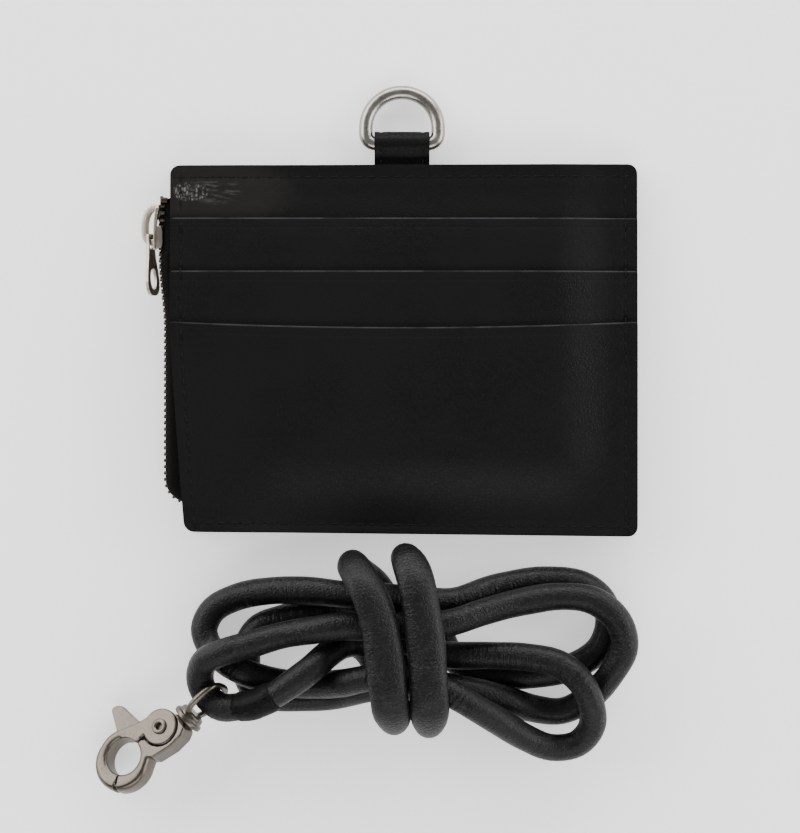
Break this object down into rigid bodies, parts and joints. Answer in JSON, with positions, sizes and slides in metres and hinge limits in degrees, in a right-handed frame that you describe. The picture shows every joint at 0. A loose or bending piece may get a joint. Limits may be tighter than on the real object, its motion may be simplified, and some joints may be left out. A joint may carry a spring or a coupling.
{
  "type": "leather id card holder with lanyard",
  "caption": "Flat leather card holder with stacked card slots, an id window at the back, a zipped side pocket and a D-ring, and a round leather lanyard with a swivel trigger hook.",
  "frame": {"origin": "on the table under the middle of the holder with its ring and slider, at the back cover's outer face", "axes": "+Z out of the card slots' face, +Y towards the D-ring, +X away from the zip"},
  "size_m": [0.1215, 0.1585, 0.027],
  "materials": {
    "leather": "black, fine grain, semi-matt",
    "cord_leather": "black, smooth, rolled round, semi-gloss",
    "lining": "black woven",
    "film": "clear film",
    "nickel": "nickel plate",
    "zip_metal": "dark antique"
  },
  "bodies": {
    "holder": {"back_cover": "leather", "id_window": "film", "pocket_lining_rear": "lining", "pocket_lining_front": "lining", "main_panel": "leather", "slot_panel_upper": "leather", "slot_panel_middle": "leather", "front_panel": "leather", "d_ring_tab": "leather", "zip_tape_front": "lining", "zip_tape_rear": "lining", "zip_teeth_front": "zip_metal", "zip_teeth_rear": "zip_metal", "zip_stop_front": "nickel", "zip_stop_rear": "nickel", "zip_stop_bottom": "nickel", "lanyard_cord": "cord_leather", "cord_join": "cord_leather"},
    "ring": {"d_ring": "nickel"},
    "slider": {"zip_slider": "nickel"},
    "puller": {"zip_pull": "nickel"},
    "eye": {"swivel_eye": "nickel"},
    "hook": {"hook_body": "nickel", "hook_rivet": "nickel", "jaw_spring": "nickel"},
    "jaw": {"hook_jaw": "nickel"}
  },
  "joints": [
    {"name": "d_ring_pivot", "type": "hinge", "parent": "holder", "child": "ring", "pos_m": [0.00265, 0.03751, 0.0033], "axis": [1, 0, 0], "range_deg": [-110, 128]},
    {"name": "zip_slide", "type": "slide", "parent": "holder", "child": "slider", "axis": [0, -1, 0], "range_m": [0, 0.05], "deforming": ["zip_teeth_front", "zip_teeth_rear"]},
    {"name": "puller_hinge", "type": "hinge", "parent": "slider", "child": "puller", "pos_m": [-0.0541, 0.01676, 0.0039], "axis": [-0.2756, 0, -0.9613], "range_deg": [0, 100]},
    {"name": "eye_swing", "type": "hinge", "parent": "holder", "child": "eye", "pos_m": [-0.0406, -0.08709, 0.0096], "axis": [-0.6871, 0.7266, 0], "range_deg": [-10, 45]},
    {"name": "hook_swivel", "type": "hinge", "parent": "eye", "child": "hook", "pos_m": [-0.04588, -0.09216, 0.0087], "axis": [0.7212, 0.682, 0.1219], "continuous": true},
    {"name": "jaw_pivot", "type": "hinge", "parent": "hook", "child": "jaw", "pos_m": [-0.0507, -0.09409, 0.007], "axis": [0.4202, -0.2908, -0.8596], "range_deg": [0, 28], "stiffness_Nm_per_rad": 0.02, "springref_deg": -28.65, "deforming": ["jaw_spring"]}
  ]
}
